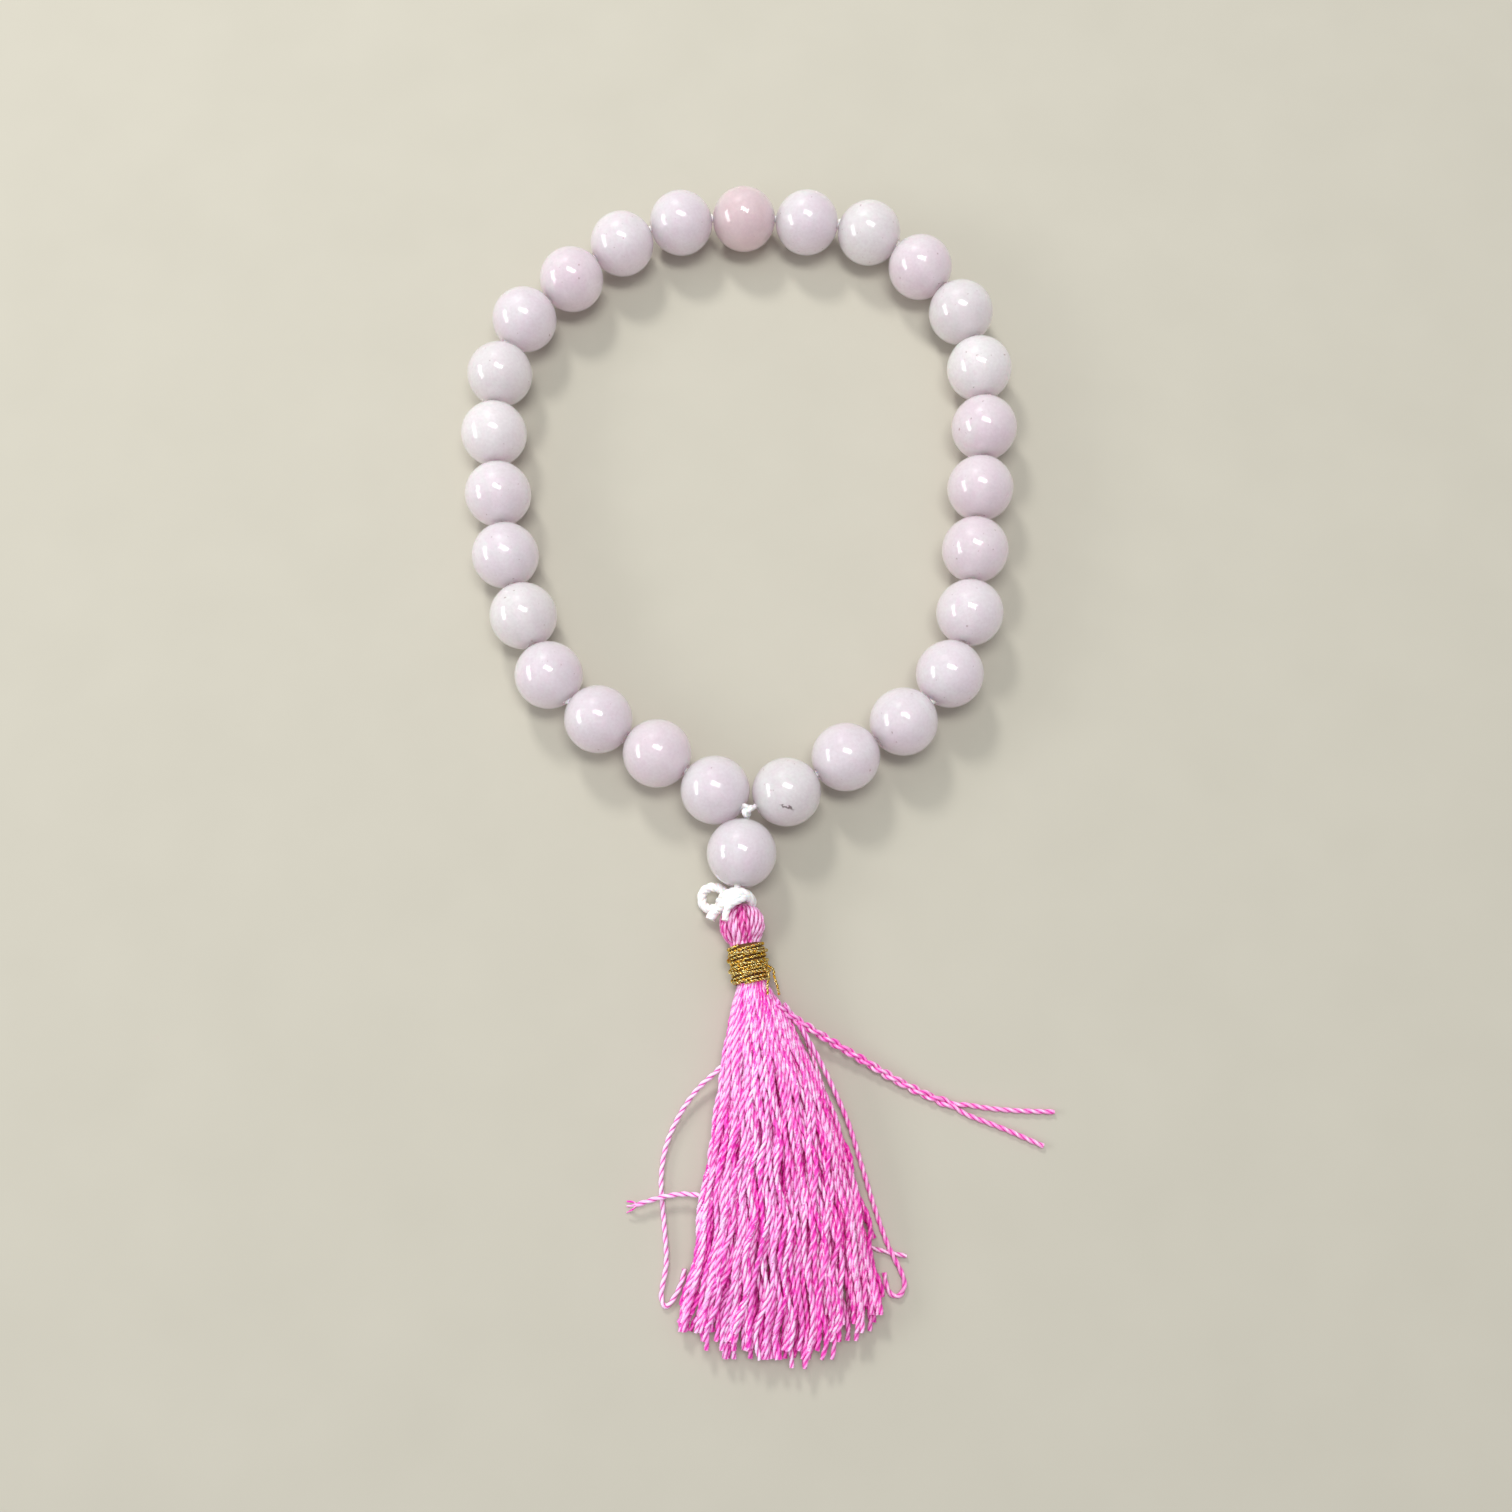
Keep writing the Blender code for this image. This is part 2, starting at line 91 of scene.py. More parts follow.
def piece_from(name, mesh):
    """An object of that name in the scene, at the origin, unturned and unscaled."""
    piece = bpy.data.objects.new(name, mesh)
    bpy.context.scene.collection.objects.link(piece)
    return piece


# Matt board: the faint mottling of a painted surface, 12 mm across
board, tree, shader = finish("matt painted board", Roughness=0.85)
place = node(tree, "ShaderNodeTexCoord").outputs["Object"]
mottle = node(tree, "ShaderNodeTexNoise", {"Vector": place, "Scale": 1 / (12 * MM), "Detail": 3.0})
tint = node(tree, "ShaderNodeMix", {0: mottle.outputs["Fac"], 6: linear("#BBB8AA"), 7: linear("#C1BEB0")},
            data_type="RGBA")
tree.links.new(tint.outputs[2], shader.inputs["Base Color"])

bm = bmesh.new()
bmesh.ops.create_grid(bm, x_segments=1, y_segments=1, size=0.9)
mesh = bpy.data.meshes.new("board")
bm.to_mesh(mesh)
bm.free()
mesh.materials.append(board)
piece_from("board", mesh)


def window(name, direction, distance, width, height, watts, hex_colour, mirrored=True):
    """A soft rectangular light that faces the middle of the mala from that direction, mirrored in gloss or not."""
    lamp = bpy.data.lights.new(name, "AREA")
    lamp.shape = "RECTANGLE"
    lamp.size, lamp.size_y = width, height
    lamp.energy = watts
    lamp.color = linear(hex_colour)[:3]
    light = bpy.data.objects.new(name, lamp)
    light.location = Vector(direction).normalized() * distance
    light.rotation_euler = Vector(direction).to_track_quat("Z", "Y").to_euler()
    light.visible_glossy = mirrored
    bpy.context.scene.collection.objects.link(light)


window("window overhead", (0.05, 0.11, 0.99), 0.60, 0.32, 0.15, 1.65, "#FFFDFC")
window("window left", (-0.90, -0.02, 0.44), 0.55, 0.36, 0.13, 1.0, "#FFFEFE")
window("window behind", (-0.26, 0.70, 0.66), 0.60, 0.11, 0.09, 1.4, "#FFFCFA", mirrored=False)

world = bpy.data.worlds.new("room")
bpy.context.scene.world = world
world.use_nodes = True
world.node_tree.nodes["Background"].inputs["Color"].default_value = linear("#F4F5F8")
world.node_tree.nodes["Background"].inputs["Strength"].default_value = 0.50
bpy.context.scene.view_settings.view_transform = "Standard"

# It looks down at the middle of the mala from 169 mm up, leaning 14 degrees towards the loop's top
camera = bpy.data.objects.new("camera", bpy.data.cameras.new("camera"))
camera.data.sensor_width = 36.0
camera.data.lens = 34.667
camera.data.clip_start = 0.01
camera.location = (0.00205, -0.04572, 0.16898)
camera.rotation_euler = (math.radians(13.95), 0.0, 0.0)
bpy.context.scene.collection.objects.link(camera)
bpy.context.scene.camera = camera


# ---- The stray threads of the tassel ----
# Four threads have left the skirt and lie on the surface, two of them wound round each other and parting near
# their ends, and a short one crosses the left bow. Each is two plies of silk floss twisted together.

def thread_tree():
    """Curves in, twisted thread out: a lobed section for the plies, turned once in each lay along the curve."""
    tree = bpy.data.node_groups.new("twisted thread", "GeometryNodeTree")
    face = tree.interface
    face.new_socket("Guides", in_out="INPUT", socket_type="NodeSocketGeometry")
    for name in ("Diameter", "Lay", "Spacing", "Groove"):
        face.new_socket(name, in_out="INPUT", socket_type="NodeSocketFloat")
    for name in ("Plies", "Sides", "Seed"):
        face.new_socket(name, in_out="INPUT", socket_type="NodeSocketInt")
    face.new_socket("Finish", in_out="INPUT", socket_type="NodeSocketMaterial")
    face.new_socket("Thread", in_out="OUTPUT", socket_type="NodeSocketGeometry")
    given = node(tree, "NodeGroupInput").outputs

    tone = node(tree, "FunctionNodeRandomValue", {"Seed": given["Seed"]}, data_type="FLOAT").outputs[1]
    toned = node(tree, "GeometryNodeStoreNamedAttribute",
                 {"Geometry": given["Guides"], "Name": "tone", "Value": tone}, domain="CURVE")
    even = node(tree, "GeometryNodeResampleCurve", {"Curve": toned.outputs[0], "Length": given["Spacing"]},
                mode="LENGTH")
    along = node(tree, "GeometryNodeSplineParameter").outputs["Length"]
    measured = node(tree, "GeometryNodeStoreNamedAttribute",
                    {"Geometry": even.outputs[0], "Name": "along", "Value": along})
    turns = node(tree, "ShaderNodeMath", {0: along, 1: given["Lay"]}, operation="DIVIDE")
    own = node(tree, "GeometryNodeInputNamedAttribute", {"Name": "tone"}).outputs[0]
    turned = node(tree, "ShaderNodeMath", {0: turns.outputs[0], 1: own}, operation="ADD")
    angle = node(tree, "ShaderNodeMath", {0: turned.outputs[0], 1: 2 * math.pi}, operation="MULTIPLY")
    laid = node(tree, "GeometryNodeSetCurveTilt", {"Curve": measured.outputs[0], "Tilt": angle.outputs[0]})

    radius = node(tree, "ShaderNodeMath", {0: given["Diameter"], 1: 0.5}, operation="MULTIPLY")
    ring = node(tree, "GeometryNodeCurvePrimitiveCircle",
                {"Resolution": given["Sides"], "Radius": radius.outputs[0]})
    point = node(tree, "GeometryNodeInputPosition").outputs[0]
    split = node(tree, "ShaderNodeSeparateXYZ", {0: point}).outputs
    around = node(tree, "ShaderNodeMath", {0: split[1], 1: split[0]}, operation="ARCTAN2")
    half = node(tree, "ShaderNodeMath", {0: given["Plies"], 1: 0.5}, operation="MULTIPLY")
    phase = node(tree, "ShaderNodeMath", {0: around.outputs[0], 1: half.outputs[0]}, operation="MULTIPLY")
    wave = node(tree, "ShaderNodeMath", {0: phase.outputs[0]}, operation="COSINE")
    crest = node(tree, "ShaderNodeMath", {0: wave.outputs[0]}, operation="ABSOLUTE")
    marked = node(tree, "GeometryNodeStoreNamedAttribute",
                  {"Geometry": ring.outputs[0], "Name": "crest", "Value": crest.outputs[0]})
    depth = node(tree, "ShaderNodeMath", {0: 1.0, 1: crest.outputs[0]}, operation="SUBTRACT")
    inward = node(tree, "ShaderNodeMath", {0: depth.outputs[0], 1: given["Groove"]}, operation="MULTIPLY")
    kept = node(tree, "ShaderNodeMath", {0: 1.0, 1: inward.outputs[0]}, operation="SUBTRACT")
    moved = node(tree, "ShaderNodeVectorMath", {0: point, "Scale": kept.outputs[0]}, operation="SCALE")
    lobed = node(tree, "GeometryNodeSetPosition", {"Geometry": marked.outputs[0], "Position": moved.outputs[0]})

    width = node(tree, "GeometryNodeInputRadius").outputs[0]
    tube = node(tree, "GeometryNodeCurveToMesh",
                {"Curve": laid.outputs[0], "Profile Curve": lobed.outputs[0], "Scale": width, "Fill Caps": True})
    smooth = node(tree, "GeometryNodeSetShadeSmooth", {"Geometry": tube.outputs[0]})
    real = node(tree, "GeometryNodeRealizeInstances", {"Geometry": smooth.outputs[0]})
    dressed = node(tree, "GeometryNodeSetMaterial",
                   {"Geometry": real.outputs[0], "Material": given["Finish"]})
    node(tree, "NodeGroupOutput", {"Thread": dressed.outputs[0]})
    return tree


TWISTED_THREAD = thread_tree()


def smooth_line(points, steps=16):
    """A Catmull-Rom curve through points in millimetres, in metres."""
    points = [Vector(p) * MM for p in points]
    ends = [2 * points[0] - points[1], *points, 2 * points[-1] - points[-2]]
    line = []
    for before, here, there, after in zip(ends, ends[1:], ends[2:], ends[3:]):
        for step in range(steps):
            t = step / steps
            line.append(0.5 * (2 * here + (there - before) * t
                               + (2 * before - 5 * here + 4 * there - after) * t**2
                               + (3 * here - before - 3 * there + after) * t**3))
    return [*line, points[-1]]


def thread(name, lines, finish_used, widths=None, **sizes):
    """A plain mesh of twisted thread along lines in metres. Widths scale the diameter at each point of each line."""
    curve = bpy.data.curves.new(name, "CURVE")
    curve.dimensions = "3D"
    for index, line in enumerate(lines):
        spline = curve.splines.new("POLY")
        spline.points.add(len(line) - 1)
        for step, point in enumerate(line):
            spline.points[step].co = (*point, 1.0)
            spline.points[step].radius = widths[index][step] if widths else 1.0
    guides = piece_from(name + "_guides", curve)
    modifier = guides.modifiers.new("twisted thread", "NODES")
    modifier.node_group = TWISTED_THREAD
    sizes = {"Groove": 0.42, "Plies": 2, "Sides": 8, "Seed": 1, "Finish": finish_used, **sizes}
    for item in TWISTED_THREAD.interface.items_tree:
        if item.in_out == "INPUT" and item.name in sizes:
            modifier[item.identifier] = sizes[item.name]
    evaluated = guides.evaluated_get(bpy.context.evaluated_depsgraph_get())
    mesh = bpy.data.meshes.new_from_object(evaluated)
    guides.modifiers.remove(modifier)
    bpy.data.objects.remove(guides)
    return piece_from(name, mesh)


def silk_floss(name, dark, middle, light, crease_shade_colour, painted_glint):
    """Plied silk floss: painted glints on the ply crests, painted shade in the creases, a dye that wanders by thread.
    """
    # A trace of glow stands for the light that passes through the floss
    material, tree, shader = finish(name, Roughness=0.28, Specular_IOR_Level=0.4, Coat_Weight=0.15,
                                    Coat_Roughness=0.12, Emission_Color=linear("#FF1098"),
                                    Emission_Strength=0.04)
    place = node(tree, "ShaderNodeTexCoord").outputs["Object"]
    crest = node(tree, "ShaderNodeAttribute", attribute_name="crest").outputs["Fac"]
    tone = node(tree, "ShaderNodeAttribute", attribute_name="tone").outputs["Fac"]
    along = node(tree, "ShaderNodeAttribute", attribute_name="along").outputs["Fac"]
    wander = node(tree, "ShaderNodeTexNoise", {"Vector": place, "Scale": 1 / (4 * MM), "Detail": 2.0})
    mixed = node(tree, "ShaderNodeMath", {0: wander.outputs["Fac"], 1: 0.9, 2: -0.45}, operation="MULTIPLY_ADD")
    shade = node(tree, "ShaderNodeMath", {0: tone, 1: mixed.outputs[0]}, operation="ADD")
    dye = node(tree, "ShaderNodeValToRGB", {"Fac": shade.outputs[0]})
    stops = dye.color_ramp.elements
    stops[0].position, stops[0].color = 0.05, linear(dark)
    stops[1].position, stops[1].color = 0.95, linear(light)
    stops.new(0.45).color = linear(middle)
    # The colour leans to red towards the tassel's right side
    across = node(tree, "ShaderNodeSeparateXYZ", {0: place}).outputs["X"]
    right = node(tree, "ShaderNodeMapRange", {0: across, 1: 3 * MM, 2: 15 * MM, 3: 0.0, 4: 0.25})
    warm = node(tree, "ShaderNodeMix", {0: right.outputs[0], 6: dye.outputs["Color"], 7: linear("#F0609E")},
                data_type="RGBA")
    # Painted shade: the crease between the plies is drawn in the crease shade colour
    painted_crease_shade = node(tree, "ShaderNodeMapRange", {0: crest, 1: 0.1, 2: 0.6, 3: 0.95, 4: 0.0})
    with_crease_shade = node(tree, "ShaderNodeMix", {0: painted_crease_shade.outputs[0], 6: warm.outputs[2], 7: linear(crease_shade_colour)},
                data_type="RGBA")
    # Fibres a few hundredths of a millimetre thick run along each ply, drawn 0.08 mm apart so that they show
    fibre_place = node(tree, "ShaderNodeCombineXYZ", {0: along, 1: crest, 2: tone})
    fibre_scale = node(tree, "ShaderNodeVectorMath", {0: fibre_place.outputs[0], 1: (1 / (0.6 * MM), 5.0, 40.0)},
                       operation="MULTIPLY")
    fibres = node(tree, "ShaderNodeTexNoise", {"Vector": fibre_scale.outputs[0], "Scale": 1.0, "Detail": 2.0})
    # Painted glint: near-white streaks along the fibres on the crest of each ply
    glint_streak = node(tree, "ShaderNodeMapRange", {0: fibres.outputs["Fac"], 1: 0.4, 2: 0.64, 3: 0.0, 4: painted_glint})
    painted_glint_mask = node(tree, "ShaderNodeMapRange", {0: crest, 1: 0.78, 2: 0.98, 3: 0.0, 4: glint_streak.outputs[0]})
    lit = node(tree, "ShaderNodeMix", {0: painted_glint_mask.outputs[0], 6: with_crease_shade.outputs[2], 7: linear("#FFF2FE")},
               data_type="RGBA")
    tree.links.new(lit.outputs[2], shader.inputs["Base Color"])
    bump = node(tree, "ShaderNodeBump", {"Height": fibres.outputs["Fac"], "Strength": 0.5, "Distance": 0.04 * MM})
    tree.links.new(bump.outputs["Normal"], shader.inputs["Normal"])
    return material


silk = silk_floss("dyed silk floss", "#FA40CA", "#FFB4F2", "#FFDAFF", "#DE0CA2", 0.9)

THREAD_DIAMETER = 0.62 * MM
THREAD_LAY = 2.4 * MM

# Each route in millimetres, from its root inside the skirt to its free end
STRAY_ROUTES = {
    "stray_pair_upper": [
        (4.6, -32.9, 4.0), (5.7, -33.7, 3.1), (6.7, -34.4, 2.5), (8.3, -35.4, 2.0), (10.8, -36.9, 1.6),
        (14.7, -39.1, 1.1), (18.7, -41.4, 0.7), (22.6, -43.2, 0.45), (26.5, -44.4, 0.4), (30.5, -44.9, 0.4),
        (35.6, -45.1, 0.4)],
    "stray_pair_lower": [
        (4.0, -33.7, 4.0), (5.1, -34.6, 3.1), (6.2, -35.4, 2.5), (7.9, -36.4, 2.0), (10.4, -37.9, 1.6),
        (14.2, -40.1, 1.1), (18.2, -42.4, 0.7), (22.2, -44.2, 0.45), (26.2, -45.6, 0.4), (30.0, -47.0, 0.4),
        (34.2, -48.8, 0.4)],
    "stray_left_bow": [
        (-0.6, -38.6, 2.9), (-2.2, -40.5, 1.8), (-4.5, -42.6, 1.2), (-6.5, -45.4, 0.7), (-8.0, -48.8, 0.45),
        (-8.5, -52.6, 0.4), (-8.1, -57.1, 0.4), (-7.8, -61.1, 0.4), (-8.3, -64.6, 0.4), (-7.7, -65.7, 0.4),
        (-6.7, -64.5, 0.4), (-6.0, -62.9, 0.4), (-5.8, -61.8, 0.4)],
    "stray_right_hook": [
        (6.9, -35.6, 3.2), (8.3, -37.9, 2.5), (9.2, -39.5, 2.1), (10.7, -42.5, 1.6), (12.4, -46.4, 1.1),
        (13.8, -50.9, 0.7), (15.2, -55.5, 0.45), (16.6, -59.4, 0.4), (17.9, -62.0, 0.4), (18.3, -63.4, 0.4),
        (17.8, -64.5, 0.4), (16.9, -64.5, 0.4), (16.3, -63.5, 0.4), (16.1, -62.2, 0.4)],
}


# Shares of the pair's length: where its two threads begin to part, and the stretch over which they do
PARTS_FROM, PARTS_OVER = 0.68, 0.14


def wound_pair(first, second, turn, apart):
    """Two lines wound round their common middle, each half a turn from the other, that part towards their ends."""
    wound = ([], [])
    walked = 0.0
    for i, (a, b) in enumerate(zip(first, second)):
        middle = (a + b) / 2
        share = i / (len(first) - 1)
        if i:
            walked += (middle - before).length
        before = middle
        ahead = min(i + 1, len(first) - 1)
        forward = ((first[ahead] + second[ahead]) - (first[ahead - 1] + second[ahead - 1])).normalized()
        side = forward.cross(Vector((0, 0, 1))).normalized()
        up = side.cross(forward)
        angle = 2 * math.pi * walked / turn
        free = min(1.0, max(0.0, (share - PARTS_FROM) / PARTS_OVER))
        free = free * free * (3 - 2 * free)
        for line, own, sign in ((wound[0], a, 1.0), (wound[1], b, -1.0)):
            round_it = middle + (side * math.cos(angle) + up * math.sin(angle)) * sign * apart
            line.append(round_it.lerp(own, free))
    return wound


stray_lines = {name: smooth_line(route) for name, route in STRAY_ROUTES.items()}
pair = wound_pair(stray_lines["stray_pair_upper"], stray_lines["stray_pair_lower"], 3.4 * MM, 0.25 * MM)
stray_lines["stray_pair_upper"], stray_lines["stray_pair_lower"] = pair
for name, line in stray_lines.items():
    stray = thread(name + "_silk", [line], silk, Diameter=THREAD_DIAMETER, Lay=THREAD_LAY, Spacing=0.2 * MM,
                   Sides=12, Seed=len(name))
    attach(stray, "skirt")
    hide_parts(name)

# The short thread passes over the left bow, and its cut end has come apart into three thin frays
cross_line = smooth_line([(-11.2, -55.1, 1.3), (-10.0, -54.7, 1.3), (-8.2, -54.2, 1.4), (-6.1, -53.9, 1.5),
                          (-4.3, -54.0, 1.9), (-2.6, -54.3, 2.4)])
frays = [smooth_line([(-11.0, -55.0, 1.3), (-11.5, -55.25 + rise, 1.2), (-12.2, -55.5 + 1.6 * rise, 1.0 - drop)])
         for rise, drop in ((0.5, 0.1), (0.15, 0.5), (-0.25, 0.3))]
cross_lines = [cross_line, *frays]
cross_widths = [[width] * len(line) for width, line in zip((1.0, 0.4, 0.45, 0.35), cross_lines)]
cross = thread("stray_left_cross_silk", cross_lines, silk, cross_widths, Diameter=THREAD_DIAMETER,
               Lay=THREAD_LAY, Spacing=0.2 * MM, Sides=12, Seed=4)
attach(cross, "skirt")
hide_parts("stray_left_cross")


# ---- The stringing cord ----
# One length of glossy white nylon cord, three plies, runs through every counting bead. It shows only in the small
# gaps between beads and at the knot above the guru bead, where the loop's two ends meet.

BEADS = [f"bead_{number:02d}" for number in range(1, 28)]
spins = {j["name"].removesuffix("_spin"): j for j in frame["joints"] if j["name"].endswith("_spin")}
centre = {name: Vector(spins[name]["pos_m"]) for name in [*BEADS, "guru_bead"]}
bore_axis = {name: Vector(spins[name]["axis"]).normalized() for name in centre}
BORE_HALF = 3.7 * MM
# Each stretch of the cord: the body it rides on, and the first and last bead that it runs through
STRETCHES = {
    "strand_cord_top": ("strand_top", 11, 17),
    "strand_cord_upper_left": ("strand_upper", 8, 10), "strand_cord_upper_right": ("strand_upper", 18, 20),
    "strand_cord_middle_left": ("strand_middle", 5, 7), "strand_cord_middle_right": ("strand_middle", 21, 23),
    "strand_cord_lower_left": ("strand_lower", 3, 4), "strand_cord_lower_right": ("strand_lower", 24, 25),
    "strand_cord_bottom_left": ("strand_bottom", 1, 2), "strand_cord_bottom_right": ("strand_bottom", 26, 27),
}

# Nylon cord, braided and heat-set: nearly white with a satin gloss, and faint grey painted shade between its plies
nylon, tree, shader = finish("white nylon cord", Roughness=0.34, Specular_IOR_Level=0.5, Subsurface_Weight=0.25,
                             Subsurface_Scale=0.5 * MM)
crest = node(tree, "ShaderNodeAttribute", attribute_name="crest").outputs["Fac"]
along = node(tree, "ShaderNodeAttribute", attribute_name="along").outputs["Fac"]
hair_place = node(tree, "ShaderNodeCombineXYZ", {0: along, 1: crest})
hair_scale = node(tree, "ShaderNodeVectorMath", {0: hair_place.outputs[0], 1: (1 / (0.35 * MM), 4.0, 1.0)},
                  operation="MULTIPLY")
hairs = node(tree, "ShaderNodeTexNoise", {"Vector": hair_scale.outputs[0], "Scale": 1.0, "Detail": 2.0})
# Painted shade: grey in the crease between the plies
nylon_crease_shade = node(tree, "ShaderNodeMapRange", {0: crest, 1: 0.0, 2: 0.6, 3: 0.5, 4: 0.0})
white = node(tree, "ShaderNodeMix", {0: nylon_crease_shade.outputs[0], 6: linear("#FCFBFA"), 7: linear("#DAD4D2")},
             data_type="RGBA")
tree.links.new(white.outputs[2], shader.inputs["Base Color"])
bump = node(tree, "ShaderNodeBump", {"Height": hairs.outputs["Fac"], "Strength": 0.4, "Distance": 0.05 * MM})
tree.links.new(bump.outputs["Normal"], shader.inputs["Normal"])

CORD_DIAMETER = 0.85 * MM
STRAND_KNOT = Vector((0.95, -11.35, 3.95)) * MM


def white_cord(name, lines, body, stands_for, diameter=CORD_DIAMETER, bends_from=None):
    """A piece of the white cord that rides a body, or, given bends_from, is baked in place just below the tie and
    rides none.
    """
    piece = thread(name, lines, nylon, Diameter=diameter, Lay=2.6 * MM, Spacing=0.18 * MM, Groove=0.16, Plies=3,
                   Sides=18)
    if bends_from:
        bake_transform(piece)
    else:
        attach(piece, body)
    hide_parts(stands_for)


for name, (body, first, last) in STRETCHES.items():
    through = []
    for number in range(first, last + 1):
        bead = f"bead_{number:02d}"
        through += [centre[bead] + bore_axis[bead] * BORE_HALF * share for share in (-1.06, -0.5, 0.5, 1.06)]
    white_cord(name + "_nylon", [smooth_line([p / MM for p in through], steps=8)], body, name)

# An overhand knot, drawn tight: a trefoil 1.4 mm across and 1.9 mm high
trefoil = []
for step in range(97):
    t = 2 * math.pi * step / 96
    trefoil.append(STRAND_KNOT + Vector((0.19 * (math.sin(t) + 2 * math.sin(2 * t)),
                                         0.21 * (math.cos(t) - 2 * math.cos(2 * t)),
                                         0.45 * math.sin(3 * t) + 0.9)) * MM)
legs = [smooth_line([(-0.2, -10.3, 3.95), (0.35, -10.9, 4.3), (0.8, -11.4, 4.4), (0.95, -12.4, 4.0)]),
        smooth_line([(2.3, -10.5, 3.95), (1.7, -11.0, 4.3), (1.2, -11.4, 4.5), (0.95, -12.4, 4.0)])]
white_cord("strand_knot_nylon", [trefoil, *legs], "strand_bottom", "strand_knot", diameter=0.62 * MM)


# ---- The counting beads and the guru bead ----
# Balls of rose quartz, nominally 8 mm, ground, drilled and tumbled to a high polish. The stone is cloudy, so light
# sinks into it and glows back, most of all round the mouths of the bore, where the neighbour's light comes through.

BEAD_RADIUS = 4.03 * MM
BORE, GURU_BORE = 1.3 * MM, 1.8 * MM
MOUTH_EDGE = 0.12 * MM
BALL_STEPS = 26
# How far a bead's stone goes towards white, where it is whiter than its neighbours
WHITER = {"bead_05": 0.25, "bead_07": 0.2, "bead_08": 0.8, "bead_12": 0.2, "bead_16": 0.2, "bead_19": 0.9,
          "bead_23": 0.2}


def bead(name, bore):
    """A drilled ball about the bead's own bore, with the edge of the bore's mouths rounded over."""
    hole = bore / 2
    start = math.asin((hole + MOUTH_EDGE) / BEAD_RADIUS)
    rim = BEAD_RADIUS * math.cos(start)
    profile = [(hole + MOUTH_EDGE * (1 - math.sin(a)), rim - MOUTH_EDGE * (1 - math.cos(a)))
               for a in (math.radians(d) for d in (90, 60, 30))]
    sweep = math.pi - 2 * start
    ball = [(BEAD_RADIUS * math.sin(start + sweep * i / BALL_STEPS),
             BEAD_RADIUS * math.cos(start + sweep * i / BALL_STEPS)) for i in range(BALL_STEPS + 1)]
    profile = [*profile, *ball, *[(r, -h) for r, h in reversed(profile)]]
    bm = bmesh.new()
    verts = [bm.verts.new((r, 0.0, h)) for r, h in profile]
    edges = [bm.edges.new(pair) for pair in zip(verts, [*verts[1:], verts[0]])]
    bmesh.ops.spin(bm, geom=verts + edges, cent=(0, 0, 0), axis=(0, 0, 1), angle=2 * math.pi, steps=48)
    bmesh.ops.remove_doubles(bm, verts=bm.verts, dist=0.001 * MM)
    bmesh.ops.recalc_face_normals(bm, faces=bm.faces)
    turn = bore_axis[name].to_track_quat("Z", "Y").to_matrix().to_4x4()
    bmesh.ops.transform(bm, matrix=Matrix.Translation(centre[name]) @ turn, verts=bm.verts)
    mesh = bpy.data.meshes.new(name)
    bm.to_mesh(mesh)
    bm.free()
    mesh.shade_smooth()
    mesh.set_sharp_from_angle(angle=math.radians(50))
    glow = mesh.attributes.new("mouth", "FLOAT", "POINT")
    mouths = [centre[name] + bore_axis[name] * BEAD_RADIUS * side for side in (-1, 1)]
    nearest = [min((v.co - m).length for m in mouths) for v in mesh.vertices]
    glow.data.foreach_set("value", [math.exp(-(d / (1.9 * MM)) ** 2) for d in nearest])
    white = mesh.attributes.new("whiteness", "FLOAT", "POINT")
    white.data.foreach_set("value", [WHITER.get(name, 0.0)] * len(mesh.vertices))
    return piece_from(name + "_quartz", mesh)


